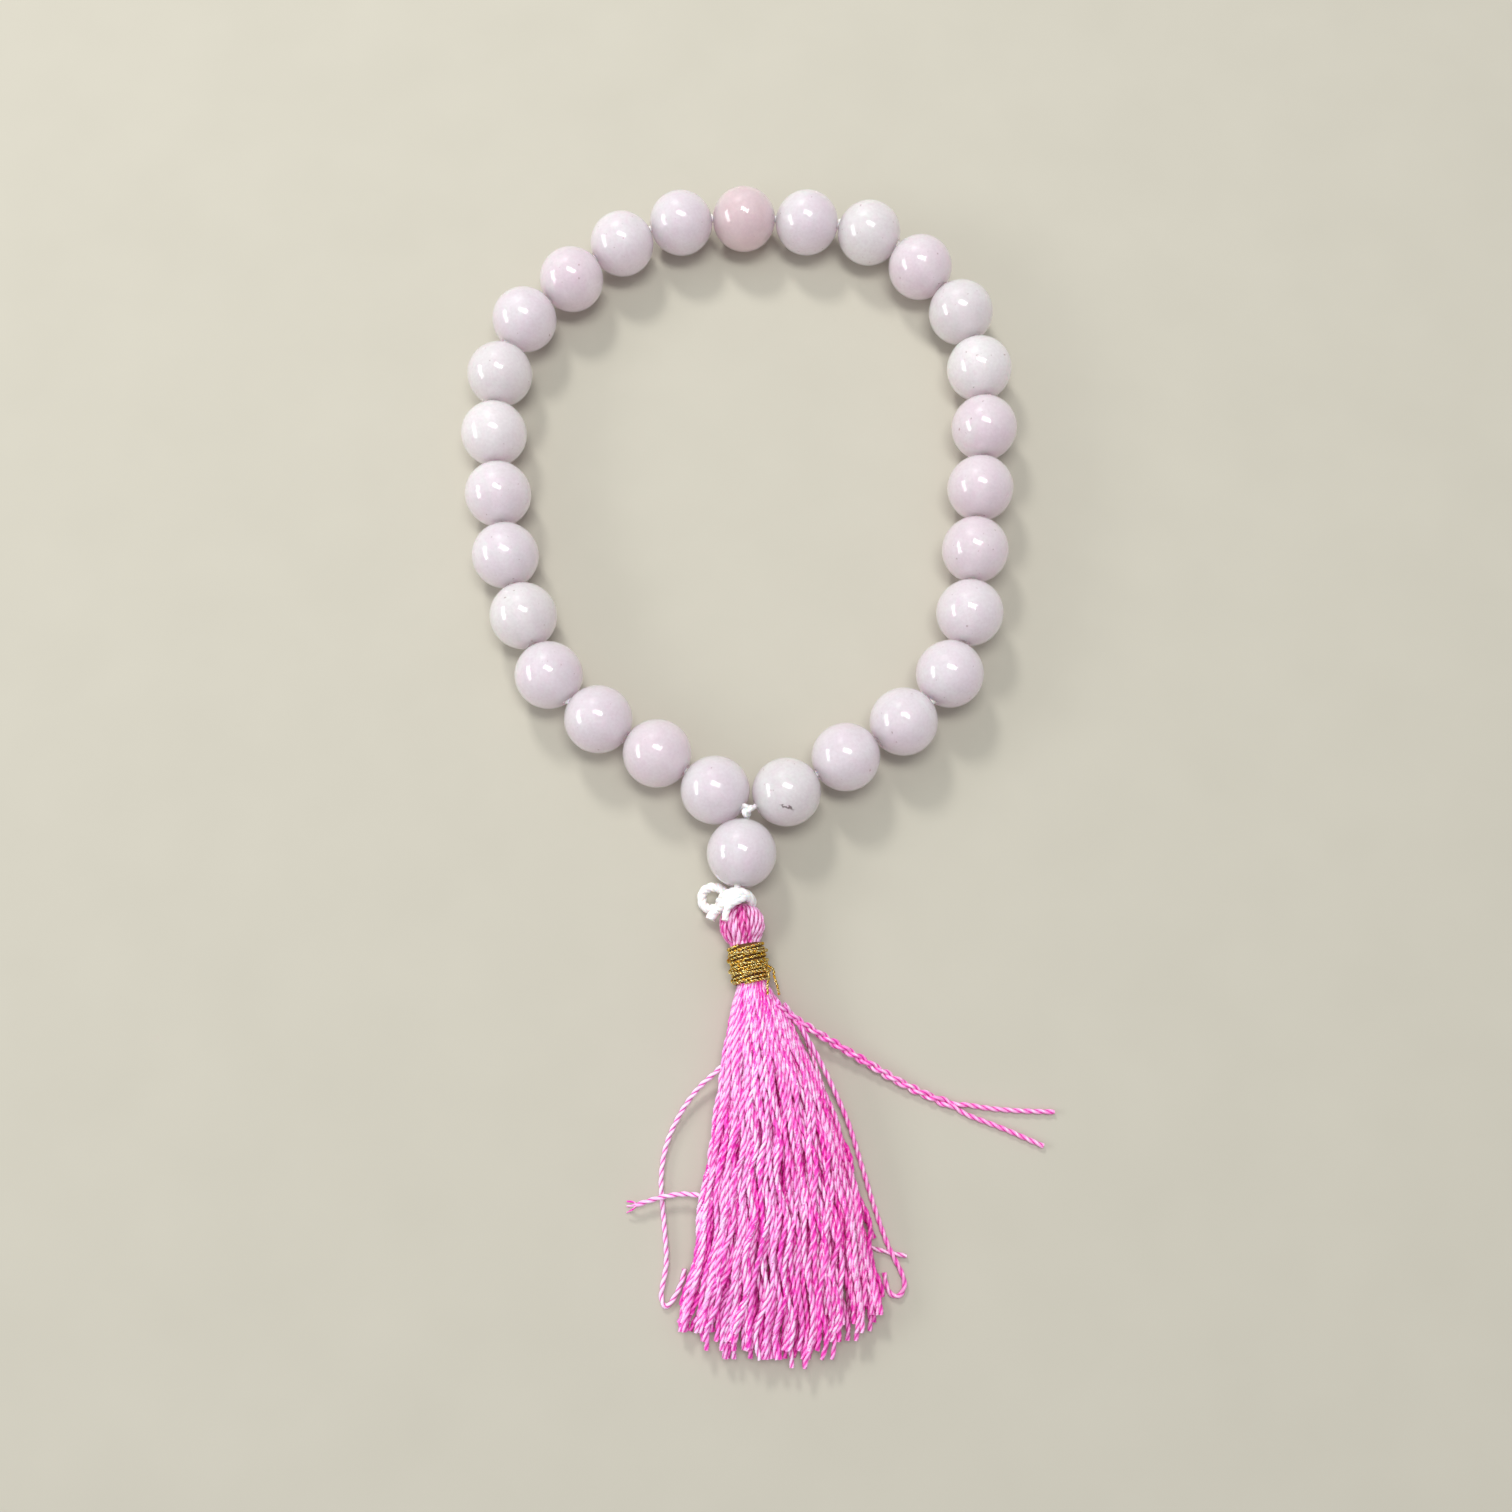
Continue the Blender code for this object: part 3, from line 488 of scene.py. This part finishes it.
def quartz(name, body_colour, cloud_colour, mouth_glow_colour):
    """Polished rose quartz: clouds 3 to 5 mm across, fine dust of inclusions, and a clear hard gloss."""
    # A trace of glow stands for the light that crosses the stone from one bead to the next
    material, tree, shader = finish(name, Roughness=0.3, IOR=1.54, Specular_IOR_Level=0.05,
                                    Subsurface_Weight=1.0, Subsurface_Scale=9.0 * MM, Transmission_Weight=0.3,
                                    Subsurface_Radius=(1.0, 0.72, 0.86), Coat_Weight=1.0,
                                    Coat_Roughness=0.015, Coat_IOR=1.54, Emission_Color=linear("#F3D2DC"),
                                    Emission_Strength=0.05)
    place = node(tree, "ShaderNodeTexCoord").outputs["Object"]
    cloud = node(tree, "ShaderNodeTexNoise", {"Vector": place, "Scale": 1 / (4.5 * MM), "Detail": 3.0,
                                              "Roughness": 0.55, "Distortion": 0.6})
    veil = node(tree, "ShaderNodeMapRange", {0: cloud.outputs["Fac"], 1: 0.36, 2: 0.68, 3: 0.0, 4: 1.0})
    stone = node(tree, "ShaderNodeMix", {0: veil.outputs[0], 6: linear(body_colour), 7: linear(cloud_colour)},
                 data_type="RGBA")
    # Some beads are whiter than their neighbours
    white = node(tree, "ShaderNodeAttribute", attribute_name="whiteness").outputs["Fac"]
    stone = node(tree, "ShaderNodeMix", {0: white, 6: stone.outputs[2], 7: linear("#FFF3F9")}, data_type="RGBA")
    # The grain of the stone, a tenth of a millimetre fine, drawn 0.35 mm across so that it shows
    grain = node(tree, "ShaderNodeTexNoise", {"Vector": place, "Scale": 1 / (0.35 * MM), "Detail": 2.0})
    speck = node(tree, "ShaderNodeMapRange", {0: grain.outputs["Fac"], 1: 0.35, 2: 0.65, 3: 0.16, 4: 0.0})
    stone = node(tree, "ShaderNodeMix", {0: speck.outputs[0], 6: stone.outputs[2], 7: linear("#B9A3AE")},
                 data_type="RGBA")
    # Painted light: paler round the mouths of the bore, where the neighbouring bead's light comes through
    mouth = node(tree, "ShaderNodeAttribute", attribute_name="mouth").outputs["Fac"]
    soft = node(tree, "ShaderNodeMath", {0: mouth, 1: 0.75}, operation="MULTIPLY")
    glowing = node(tree, "ShaderNodeMix", {0: soft.outputs[0], 6: stone.outputs[2], 7: linear(mouth_glow_colour)},
                   data_type="RGBA")
    # Rare flecks about 0.2 mm long, brown where they reach the surface
    flecks = node(tree, "ShaderNodeTexNoise", {"Vector": place, "Scale": 1 / (0.55 * MM), "Detail": 1.0})
    rare = node(tree, "ShaderNodeMapRange", {0: flecks.outputs["Fac"], 1: 0.74, 2: 0.80, 3: 0.0, 4: 0.6})
    flecked = node(tree, "ShaderNodeMix", {0: rare.outputs[0], 6: glowing.outputs[2], 7: linear("#8F6D70")},
                   data_type="RGBA")
    tree.links.new(flecked.outputs[2], shader.inputs["Base Color"])
    return material, tree, shader, place, flecked.outputs[2]


FINISHES = {
    "rose_quartz_pale": quartz("pale rose quartz", "#E9DCE7", "#F0E8F1", "#F8EAF2"),
    "rose_quartz_pink": quartz("pink rose quartz", "#E9D8E3", "#F1E4EC", "#F9E8EF"),
    "rose_quartz_milky": quartz("milky rose quartz", "#E6E0E4", "#EEEAED", "#F7EEF1"),
    "rose_quartz_dusky": quartz("dusky rose quartz", "#DFC8CA", "#E7D2D6", "#F2DCE0"),
}
# The numbers of the beads in each shade. The others, and the guru bead, are pale
SHADES = {"rose_quartz_dusky": (14,), "rose_quartz_pink": (2, 11, 17, 20, 21, 22),
          "rose_quartz_milky": (5, 9, 16, 18, 27)}

# Bead 27 alone has a wavy seam of dark mineral 1.6 mm long just under its surface, on top and towards the tassel
seamed, tree, shader, place, stone_colour = quartz("milky rose quartz with a seam", "#E6E0E4", "#EEEAED", "#F7EEF1")
own = node(tree, "ShaderNodeMapping", {0: place, 1: (5.56 * MM, -11.49 * MM, 7.5 * MM), 2: (0.0, 0.0, -0.26)},
           vector_type="TEXTURE")
offset = node(tree, "ShaderNodeSeparateXYZ", {0: own.outputs[0]}).outputs
ripple = node(tree, "ShaderNodeTexNoise", {"Vector": place, "Scale": 1 / (0.4 * MM), "Detail": 2.0}).outputs["Fac"]
wavy = node(tree, "ShaderNodeMath", {0: ripple, 1: 0.7 * MM, 2: offset[1]}, operation="MULTIPLY_ADD")
middled = node(tree, "ShaderNodeMath", {0: wavy.outputs[0], 1: 0.35 * MM}, operation="SUBTRACT")
aside = node(tree, "ShaderNodeMath", {0: middled.outputs[0]}, operation="ABSOLUTE")
thin = node(tree, "ShaderNodeMapRange", {0: aside.outputs[0], 1: 0.05 * MM, 2: 0.16 * MM, 3: 0.9, 4: 0.0})
length = node(tree, "ShaderNodeMath", {0: offset[0]}, operation="ABSOLUTE")
ended = node(tree, "ShaderNodeMapRange", {0: length.outputs[0], 1: 0.5 * MM, 2: 0.95 * MM, 3: 1.0, 4: 0.0})
depth = node(tree, "ShaderNodeMath", {0: offset[2]}, operation="ABSOLUTE")
near_top = node(tree, "ShaderNodeMapRange", {0: depth.outputs[0], 1: 0.9 * MM, 2: 1.3 * MM, 3: 1.0, 4: 0.0})
placed = node(tree, "ShaderNodeMath", {0: thin.outputs[0], 1: ended.outputs[0]}, operation="MULTIPLY")
shown = node(tree, "ShaderNodeMath", {0: placed.outputs[0], 1: near_top.outputs[0]}, operation="MULTIPLY")
seam = node(tree, "ShaderNodeMix", {0: shown.outputs[0], 6: stone_colour, 7: linear("#4A3B36")}, data_type="RGBA")
tree.links.new(seam.outputs[2], shader.inputs["Base Color"])

for name in [*BEADS, "guru_bead"]:
    shade = "rose_quartz_pale"
    for other, numbers in SHADES.items():
        if name != "guru_bead" and int(name[-2:]) in numbers:
            shade = other
    stone = bead(name, GURU_BORE if name == "guru_bead" else BORE)
    stone.data.materials.append(seamed if name == "bead_27" else FINISHES[shade][0])
    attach(stone, name)
    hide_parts(name)


# ---- The tie ----
# The cord's two ends leave the guru bead together, turn through the fold of the tassel and are knotted over it. A
# short bow lies to the left of the knot, and two cut ends lie on the tassel's head.

GURU_AXIS = (centre["guru_bead"] - STRAND_KNOT).normalized()
guru_run = [centre["guru_bead"] + GURU_AXIS * 3.9 * MM * share for share in (-1.0, -0.33, 0.33, 1.16)]
twin = Vector((0.0, 0.0, 0.42)) * MM
white_cord("guru_cord_nylon", [[p + twin for p in guru_run], [p - twin for p in guru_run]], "guru_stem",
           "guru_cord", diameter=0.8 * MM)

TIE_TURNS = [
    [(-2.1, -22.0, 3.2), (-1.9, -21.6, 4.0), (-1.2, -21.1, 4.8), (0.0, -20.9, 5.2), (1.0, -21.2, 4.9),
     (1.5, -21.7, 4.2), (1.6, -22.0, 3.4)],
    [(-2.0, -21.7, 2.5), (-1.4, -20.9, 3.3), (-0.3, -20.7, 4.0), (0.7, -20.85, 3.8), (1.4, -21.3, 3.0),
     (1.5, -22.0, 2.1)],
]
white_cord("tie_knot_nylon", [smooth_line(turn) for turn in TIE_TURNS], "tie", "tie_knot",
           diameter=1.15 * MM)
white_cord("tie_bow_nylon",
           [smooth_line([(-1.2, -20.95, 2.6), (-2.1, -20.05, 2.1), (-3.2, -19.85, 1.7), (-4.1, -20.4, 1.4),
                         (-4.15, -21.6, 1.3), (-3.5, -22.3, 1.4), (-2.6, -22.25, 1.8), (-1.9, -21.8, 2.3)])],
           "guru_stem", "tie_bow", diameter=1.15 * MM)
white_cord("tie_tail_left_nylon",
           [smooth_line([(-0.9, -21.3, 5.0), (-1.3, -22.0, 5.1), (-1.9, -22.5, 4.5), (-2.35, -22.8, 4.1),
                         (-2.85, -23.3, 4.2), (-3.15, -23.9, 4.2)])],
           "tassel", "tie_tail_left", diameter=1.2 * MM, bends_from="tie")
white_cord("tie_tail_right_nylon",
           [smooth_line([(0.9, -21.3, 4.9), (0.5, -21.7, 5.3), (-0.3, -22.1, 5.5), (-0.9, -22.5, 5.5),
                         (-1.25, -23.0, 5.5), (-1.45, -24.2, 5.6)]),
            smooth_line([(0.2, -21.3, 5.3), (-0.4, -21.8, 5.5), (-1.0, -22.2, 5.3), (-1.7, -22.2, 4.7)])],
           "tassel", "tie_tail_right", diameter=0.85 * MM, bends_from="tie")

TASSEL_LEAN = math.radians(10.0)
TASSEL_AXIS = Vector((math.sin(TASSEL_LEAN), -math.cos(TASSEL_LEAN), 0.0))
TASSEL_SIDE = Vector((math.cos(TASSEL_LEAN), math.sin(TASSEL_LEAN), 0.0))
HEAD_TOP = Vector((0.05, -22.2, 2.65)) * MM


def on_tassel(distance, radius, angle):
    """A point round the tassel's axis, in metres. Angle 0 is its right side and a quarter turn its top."""
    return (HEAD_TOP + TASSEL_AXIS * distance
            + (TASSEL_SIDE * math.cos(angle) + Vector((0, 0, math.sin(angle)))) * radius)


hanger = [on_tassel(h * MM, r * MM, math.pi / 2) for h, r in
          ((0.1, 0.85), (0.8, 0.85), (1.5, 0.7), (1.9, 0.35), (2.0, 0.0), (1.9, -0.35), (1.5, -0.7), (0.8, -0.85),
           (0.1, -0.85))]
white_cord("tassel_hanger_nylon", [smooth_line([p / MM for p in hanger])], "tassel", "tassel_hanger",
           diameter=0.8 * MM)


# ---- The tassel's head ----
# The silk threads are folded in half over the tie, so they fan out from the top, round over and draw in again
# under the gold binding. Between them the inner threads show as a deep, dark pink.

# Distances along the tassel and radii, in millimetres
HEAD_SECTIONS = [(0.0, 0.45), (0.15, 1.0), (0.6, 1.75), (1.35, 2.2), (2.3, 2.32), (3.1, 2.15), (3.75, 1.75),
                 (4.3, 1.5), (6.0, 1.45), (8.9, 1.45)]
# Two layers: the number of threads round the head and how far in they lie
HEAD_LAYERS = [(25, 0.0), (18, 0.55)]
rng = random.Random(12)
head_lines = []
for count, inset in HEAD_LAYERS:
    for number in range(count):
        start = 2 * math.pi * (number + 0.25 * rng.random()) / count
        drift = rng.uniform(-0.16, 0.16)
        proud = rng.uniform(-0.08, 0.12)
        route = []
        for distance, radius in HEAD_SECTIONS:
            angle = start + drift * math.sin(distance * 0.55 + number)
            route.append(on_tassel(distance * MM, max(0.2, radius + proud - inset) * MM, angle) / MM)
        head_lines.append(smooth_line(route, steps=8))
# The same floss in deeper pinks for the folded head, with a darker painted shade in its creases
head_silk = silk_floss("dyed silk floss, folded head", "#E62AA8", "#F27CC8", "#FFC8F2", "#B40A74", 0.9)
head = thread("tassel_head_silk", head_lines, head_silk, Diameter=THREAD_DIAMETER, Lay=THREAD_LAY,
              Spacing=0.22 * MM, Seed=3)
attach(head, "tassel")
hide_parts("tassel_head")


# ---- The gold binding ----
# A metallised thread of two plies is wound about ten times round the neck and knotted off on the right, where its
# two ends stand out. The turns are not quite even, and a dark brown barrel under them is painted shade between them.

# Metallised polyester: gold foil on each ply, partly painted glints, and a brown painted shade in the crease
foil, tree, shader = finish("gold metallised thread", Metallic=1.0, Roughness=0.2)
crest = node(tree, "ShaderNodeAttribute", attribute_name="crest").outputs["Fac"]
place = node(tree, "ShaderNodeTexCoord").outputs["Object"]
crinkle = node(tree, "ShaderNodeTexNoise", {"Vector": place, "Scale": 1 / (0.28 * MM), "Detail": 3.0})
# The crinkles run from the foil's own gold to a pale yellow that is a painted glint
foil_and_painted_glints = node(tree, "ShaderNodeValToRGB", {"Fac": crinkle.outputs["Fac"]})
stops = foil_and_painted_glints.color_ramp.elements
stops[0].position, stops[0].color = 0.4, linear("#FFC632")
stops[1].position, stops[1].color = 0.6, linear("#FFF7B8")
# Painted shade: brown in the crease between the plies
gold_crease_shade = node(tree, "ShaderNodeMapRange", {0: crest, 1: 0.1, 2: 0.6, 3: 1.0, 4: 0.0})
gold = node(tree, "ShaderNodeMix", {0: gold_crease_shade.outputs[0], 6: foil_and_painted_glints.outputs["Color"], 7: linear("#8C5606")},
            data_type="RGBA")
tree.links.new(gold.outputs[2], shader.inputs["Base Color"])
bump = node(tree, "ShaderNodeBump", {"Height": crinkle.outputs["Fac"], "Strength": 1.0, "Distance": 0.22 * MM})
tree.links.new(bump.outputs["Normal"], shader.inputs["Normal"])

GOLD_DIAMETER, GOLD_TAIL_DIAMETER, GOLD_LAY = 0.4 * MM, 0.34 * MM, 1.0 * MM
# Start and end along the tassel, turns, radius, direction and slant: the ten turns, and three that cross over them
GOLD_TURNS = [(4.5, 8.8, 10, 1.98, 1, 0.1), (5.0, 8.5, 3, 2.24, -1, 0.4)]
windings = []
for start, end, turns, radius, way, slant in GOLD_TURNS:
    winding = []
    for step in range(turns * 24 + 1):
        turn = step / 24
        wobble = slant * math.sin(2 * math.pi * turn + 0.8) + 0.06 * math.sin(turn * 7.9)
        distance = start + (end - start) * turn / turns + wobble
        winding.append(on_tassel(distance * MM, (radius + 0.05 * math.sin(turn * 3.7)) * MM,
                                 way * 2 * math.pi * turn + radius))
    windings.append(winding)
wrap = thread("gold_wrap_thread", windings, foil, Diameter=GOLD_DIAMETER, Lay=GOLD_LAY, Spacing=0.1 * MM,
              Groove=0.35)
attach(wrap, "tassel")
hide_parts("gold_wrap")

# Under the turns lies a closed dark brown barrel that fills the gaps: painted shade between the turns
shade_between_turns, tree, shader = finish("brown painted shade between gold turns", Roughness=0.7, Base_Color=linear("#5E3608"))
SHADE_BARREL_RADIUS, SHADE_BARREL_LENGTH, SHADE_BARREL_MIDDLE = 1.86 * MM, 4.3 * MM, 6.65 * MM
bm = bmesh.new()
bmesh.ops.create_cone(bm, cap_ends=True, segments=40, radius1=SHADE_BARREL_RADIUS, radius2=SHADE_BARREL_RADIUS, depth=SHADE_BARREL_LENGTH,
                      matrix=Matrix.Translation(on_tassel(SHADE_BARREL_MIDDLE, 0.0, 0.0))
                      @ TASSEL_AXIS.to_track_quat("Z", "Y").to_matrix().to_4x4())
barrel = bpy.data.meshes.new("gold_turns_shade")
bm.to_mesh(barrel)
bm.free()
barrel.materials.append(shade_between_turns)
under = piece_from("gold_turns_shade_barrel", barrel)
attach(under, "tassel")

GOLD_TAIL_ROUTES = {
    "gold_tail_long": [(2.6, -28.7, 3.6), (3.3, -29.0, 3.6), (4.0, -29.5, 3.9), (4.1, -30.3, 4.2), (4.4, -31.3, 4.5),
                       (4.65, -32.4, 4.8)],
    "gold_tail_short": [(2.6, -29.2, 4.0), (3.3, -29.6, 4.2), (3.5, -30.4, 4.6), (3.35, -31.2, 5.0),
                        (3.35, -32.4, 5.1)],
}
for name, route in GOLD_TAIL_ROUTES.items():
    tail = thread(name + "_thread", [smooth_line(route)], foil, Diameter=GOLD_TAIL_DIAMETER, Lay=GOLD_LAY,
                  Spacing=0.1 * MM, Groove=0.35)
    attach(tail, "tassel")
    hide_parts(name)


# ---- The skirt ----
# About a hundred and ninety threads hang from the binding. They lie flattened on the surface in several layers,
# spread to the foot, cross each other here and there, and are cut off at uneven lengths.

# Where the threads leave the binding, and the height of a thread's middle when it lies on the surface
SKIRT_TOP, RESTING = -30.3, 0.33
# y, left and right x, lowest and highest z, in millimetres
SKIRT_SECTIONS = [
    (-30.3, 0.35, 2.85, 1.4, 3.9), (-31.6, 0.0, 3.5, 0.9, 4.3), (-33.2, -0.35, 4.6, 0.5, 4.5),
    (-35.5, -0.75, 5.9, 0.35, 4.6), (-37.5, -1.15, 6.9, 0.35, 4.6), (-43.1, -1.7, 9.7, 0.35, 4.6),
    (-48.4, -2.4, 11.5, 0.35, 4.4), (-53.4, -3.3, 13.1, 0.35, 4.2), (-58.6, -3.9, 14.2, 0.35, 4.0),
    (-63.8, -5.2, 15.3, 0.35, 3.6), (-67.4, -6.2, 15.9, 0.35, 2.9), (-72.5, -6.4, 15.5, 0.35, 2.2)]
# x and y of the cut ends from left to right
SKIRT_FOOT = [(-7.0, -67.0), (-5.6, -68.6), (-3.2, -70.0), (-1.9, -71.6), (0.2, -71.0), (4.0, -71.7), (5.9, -72.0),
              (7.4, -72.2), (9.4, -70.9), (12.5, -68.9), (14.9, -67.8), (16.3, -65.4)]
# The number of threads in each layer, and the layer's height from 0 at the surface to 1 on top
SKIRT_LAYERS = [(36, 1.0), (34, 0.82), (32, 0.63), (30, 0.44), (28, 0.25), (26, 0.08)]


def between(table, at):
    """The row of a table that belongs to a value of its first column, read between its rows."""
    rows = sorted(table)
    at = min(max(at, rows[0][0]), rows[-1][0])
    for low, high in zip(rows, rows[1:]):
        if at <= high[0]:
            share = (at - low[0]) / (high[0] - low[0])
            return [a + (b - a) * share for a, b in zip(low[1:], high[1:])]
    return rows[-1][1:]


# Only light that has met its dyed neighbours reaches an inner thread, so those are drawn in a deeper pink
inner_silk = silk_floss("dyed silk floss, inner threads", "#F024BA", "#FA68D6", "#FEACF0", "#C80A98", 0.45)

rng = random.Random(31)
skirt_lines, skirt_widths = [], []
for count, height in SKIRT_LAYERS:
    for number in range(count):
        across = -1.0 + 2.0 * (number + rng.uniform(0.1, 0.9)) / count
        level = min(1.0, max(0.0, height + rng.uniform(-0.09, 0.05)))
        sway, ripple = rng.uniform(-0.15, 0.15), rng.uniform(0.1, 0.5)
        phase, wave = rng.uniform(0, 6.3), rng.uniform(7.0, 13.0)
        left, right, _, _ = between(SKIRT_SECTIONS, -70.0)
        foot_x = (left + right) / 2 + (right - left) / 2 * across
        foot = between(SKIRT_FOOT, foot_x)[0] + abs(rng.gauss(0.0, 1.1)) * (1.0 + 1.6 * (1 - level))
        line, widths = [], []
        y = SKIRT_TOP
        while y > foot:
            left, right, low, high = between(SKIRT_SECTIONS, y)
            gone = (SKIRT_TOP - y) / 40.0
            here = across + sway * math.sin(3.0 * gone + phase) * min(1.0, 2 * gone)
            rounded = math.sqrt(max(0.0, 1.0 - min(1.0, abs(here)) ** 2.6))
            middle, half = (low + high) / 2, (high - low) / 2
            x = (left + right) / 2 + (right - left) / 2 * here
            x += ripple * min(1.0, 3 * gone) * math.sin(2 * math.pi * y / wave + phase)
            z = middle + half * (2 * level - 1) * rounded
            z += 0.12 * min(1.0, 3 * gone) * math.sin(2 * math.pi * y / (wave * 0.8) + 2 * phase)
            line.append((x, y, max(RESTING, z)))
            widths.append(0.62 + 0.38 * min(1.0, (SKIRT_TOP - y) / 5.0))
            y -= 0.9
        skirt_lines.append([Vector(p) * MM for p in line])
        skirt_widths.append(widths)

# Five threads that stand out from both edges of the fan, and a short end that lies on the surface on the right
for route in ([(5.2, -33.2, 3.0), (6.7, -35.2, 2.2), (7.9, -37.6, 1.7), (9.5, -42.3, 1.5), (10.8, -46.6, 1.4)],
              [(7.0, -41.5, 2.2), (8.3, -44.3, 1.4), (9.3, -46.8, 1.1), (11.3, -50.4, 0.9), (13.3, -54.8, 0.8),
               (15.1, -58.6, 0.6)],
              [(8.5, -46.0, 2.0), (9.9, -48.5, 1.3), (11.2, -51.6, 1.0), (12.6, -55.2, 1.0), (13.2, -58.4, 1.0)],
              [(0.3, -33.2, 2.4), (-0.7, -35.2, 1.8), (-1.4, -38.6, 1.6), (-2.0, -43.0, 1.4), (-2.0, -47.8, 1.3)],
              [(-0.9, -43.5, 1.8), (-1.8, -46.8, 1.1), (-2.4, -49.6, 0.9), (-3.6, -52.2, 0.8), (-3.8, -55.0, 0.8)],
              [(9.6, -56.2, 1.6), (11.2, -57.6, 0.7), (12.8, -58.7, 0.4), (15.1, -59.7, 0.35),
               (18.6, -60.5, 0.35)]):
    line = smooth_line(route, steps=6)
    skirt_lines.append(line)
    skirt_widths.append([0.95] * len(line))

# Two layers of the six are outer threads; the five and the short end follow them in the lists
outer = sum(count for count, _ in SKIRT_LAYERS[:2])
inner = sum(count for count, _ in SKIRT_LAYERS)
shares = ((silk, [*range(0, outer, 2), *range(inner, len(skirt_lines))]), (silk, range(1, outer, 2)),
          (inner_silk, range(outer, inner, 2)), (inner_silk, range(outer + 1, inner, 2)))
for part, (finish_used, chosen) in enumerate(shares):
    skirt = thread(f"tassel_skirt_silk_{part + 1}", [skirt_lines[i] for i in chosen], finish_used,
                   [skirt_widths[i] for i in chosen], Diameter=THREAD_DIAMETER, Lay=THREAD_LAY,
                   Spacing=0.3 * MM, Seed=20 + part)
    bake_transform(skirt)
    if part == 0:
        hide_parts("tassel_skirt")
